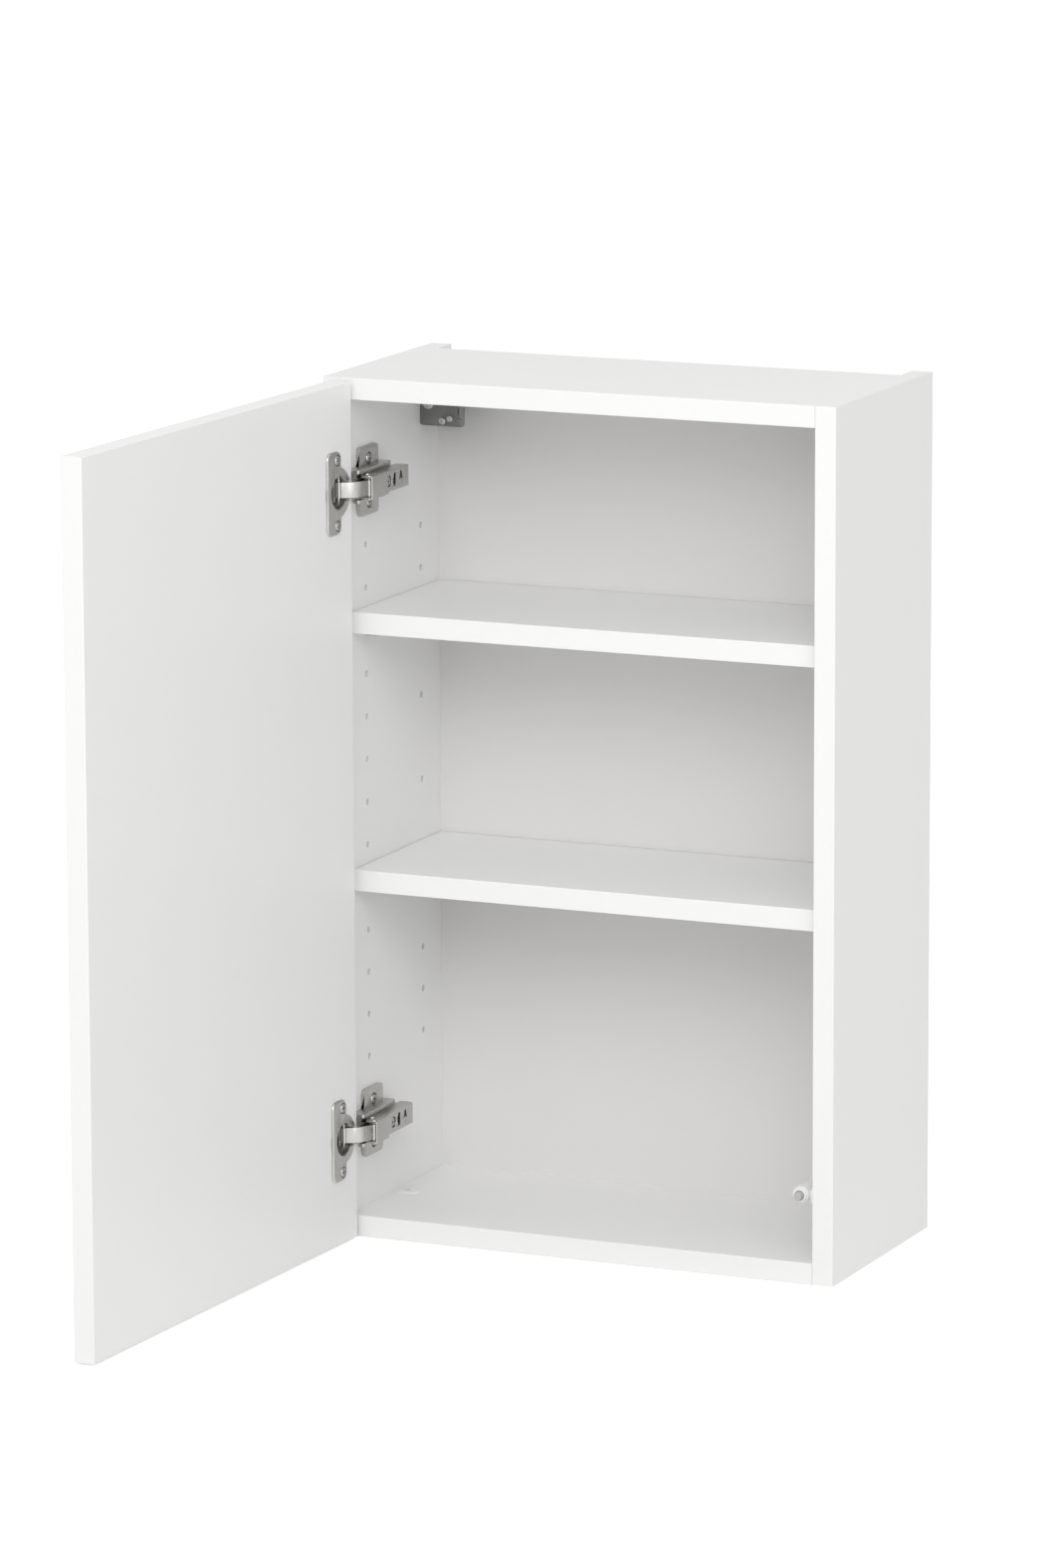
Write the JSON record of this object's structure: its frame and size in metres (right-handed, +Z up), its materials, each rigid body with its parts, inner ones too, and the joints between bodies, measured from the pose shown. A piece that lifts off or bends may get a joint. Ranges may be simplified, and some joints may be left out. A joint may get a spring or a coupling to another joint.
{
  "type": "hanging wall cabinet",
  "caption": "Slim frameless white wall cabinet with a left-hung slab door on concealed hinges, adjustable shelves, hidden hangers and a door damper.",
  "frame": {"origin": "on the wall plane behind the cabinet, midway between its sides, at the height of its underside", "axes": "+Z up, +Y into the wall so the front faces -Y, +X to the right of someone facing the front; at rest the door stands open"},
  "size_m": [0.4071, 0.5917, 0.64],
  "materials": {
    "melamine_board": "white melamine-faced particle board, fine matt texture",
    "edge_band": "white ABS edge band, rounded arris",
    "back_board": "white lacquered fibreboard",
    "dowel_wood": "fluted beech",
    "connector_white": "white coated connector housing",
    "zinc_steel": "bright zinc plated steel",
    "nickel_steel": "nickel plated pressed steel",
    "hinge_screw_steel": "nickel plated screws, pins and levers",
    "hanger_steel": "dark grey zinc plated and passivated steel",
    "white_plastic": "white moulded plastic",
    "grey_plastic": "grey moulded plastic"
  },
  "bodies": {
    "cabinet": {"back_panel": "back_board", "back_panel_screws": "zinc_steel", "bottom_front_band": "edge_band", "bottom_panel": "melamine_board", "carcass_dowels": "dowel_wood", "connector_bolts": "zinc_steel", "connector_housings": "connector_white", "damper_cylinder": "white_plastic", "damper_holder": "white_plastic", "damper_holder_screws": "zinc_steel", "left_hanger_adjusting_screws": "zinc_steel", "left_hanger_fixing_screws": "zinc_steel", "left_hanger_housing": "hanger_steel", "left_side": "melamine_board", "left_side_front_band": "edge_band", "lower_hinge_adjusting_screws": "hinge_screw_steel", "lower_hinge_arm": "nickel_steel", "lower_hinge_arm_pins": "hinge_screw_steel", "lower_hinge_clip_lever": "hinge_screw_steel", "lower_hinge_plate": "nickel_steel", "lower_hinge_plate_screws": "hinge_screw_steel", "lower_hinge_spring": "hinge_screw_steel", "lower_shelf_supports": "zinc_steel", "right_hanger_adjusting_screws": "zinc_steel", "right_hanger_fixing_screws": "zinc_steel", "right_hanger_housing": "hanger_steel", "right_side": "melamine_board", "right_side_front_band": "edge_band", "top_front_band": "edge_band", "top_panel": "melamine_board", "upper_hinge_adjusting_screws": "hinge_screw_steel", "upper_hinge_arm": "nickel_steel", "upper_hinge_arm_pins": "hinge_screw_steel", "upper_hinge_clip_lever": "hinge_screw_steel", "upper_hinge_plate": "nickel_steel", "upper_hinge_plate_screws": "hinge_screw_steel", "upper_hinge_spring": "hinge_screw_steel", "upper_shelf_supports": "zinc_steel"},
    "upper_shelf_body": {"upper_shelf": "melamine_board", "upper_shelf_front_band": "edge_band"},
    "lower_shelf_body": {"lower_shelf": "melamine_board", "lower_shelf_front_band": "edge_band"},
    "hinge_outer_links": {"upper_hinge_outer_link": "nickel_steel", "lower_hinge_outer_link": "nickel_steel"},
    "hinge_inner_links": {"upper_hinge_inner_link": "nickel_steel", "lower_hinge_inner_link": "nickel_steel"},
    "door": {"door_panel": "melamine_board", "door_edge_bands": "edge_band", "upper_hinge_cup": "nickel_steel", "upper_hinge_cup_pins": "hinge_screw_steel", "upper_hinge_cup_screws": "hinge_screw_steel", "lower_hinge_cup": "nickel_steel", "lower_hinge_cup_pins": "hinge_screw_steel", "lower_hinge_cup_screws": "hinge_screw_steel"},
    "damper_piston": {"damper_plunger": "grey_plastic"},
    "left_hook": {"left_hanger_hook": "hanger_steel"},
    "right_hook": {"right_hanger_hook": "hanger_steel"}
  },
  "joints": [
    {"name": "hinge_link_swing", "type": "hinge", "parent": "cabinet", "child": "hinge_outer_links", "pos_m": [-0.1645, -0.1875, 0.32], "axis": [0, 0, 1], "range_deg": [-27.21, 0.81]},
    {"name": "door_swing", "type": "hinge", "parent": "hinge_outer_links", "child": "door", "pos_m": [-0.18044, -0.20614, 0.32], "axis": [0, 0, 1], "range_deg": [-3.5, 119.5]},
    {"name": "hinge_inner_link_swing", "type": "hinge", "parent": "cabinet", "child": "hinge_inner_links", "pos_m": [-0.17, -0.179, 0.32], "axis": [0, 0, 1], "range_deg": [-9.91, 0.3]},
    {"name": "upper_shelf_lift", "type": "slide", "parent": "cabinet", "child": "upper_shelf_body", "axis": [0, 0, 1], "range_m": [0, 0.032]},
    {"name": "lower_shelf_lift", "type": "slide", "parent": "cabinet", "child": "lower_shelf_body", "axis": [0, 0, 1], "range_m": [0, 0.032]},
    {"name": "damper_push", "type": "slide", "parent": "cabinet", "child": "damper_piston", "axis": [0, 1, 0], "range_m": [0, 0.006], "stiffness_N_per_m": 200, "springref_m": -0.002},
    {"name": "left_hook_height", "type": "slide", "parent": "cabinet", "child": "left_hook", "axis": [0, 0, 1], "range_m": [-0.005, 0.005]},
    {"name": "right_hook_height", "type": "slide", "parent": "cabinet", "child": "right_hook", "axis": [0, 0, 1], "range_m": [-0.005, 0.005]}
  ],
  "couplings": [
    {"joint": "hinge_link_swing", "follows": "door_swing", "ratio": -0.22764},
    {"joint": "hinge_inner_link_swing", "follows": "door_swing", "ratio": -0.082831}
  ]
}
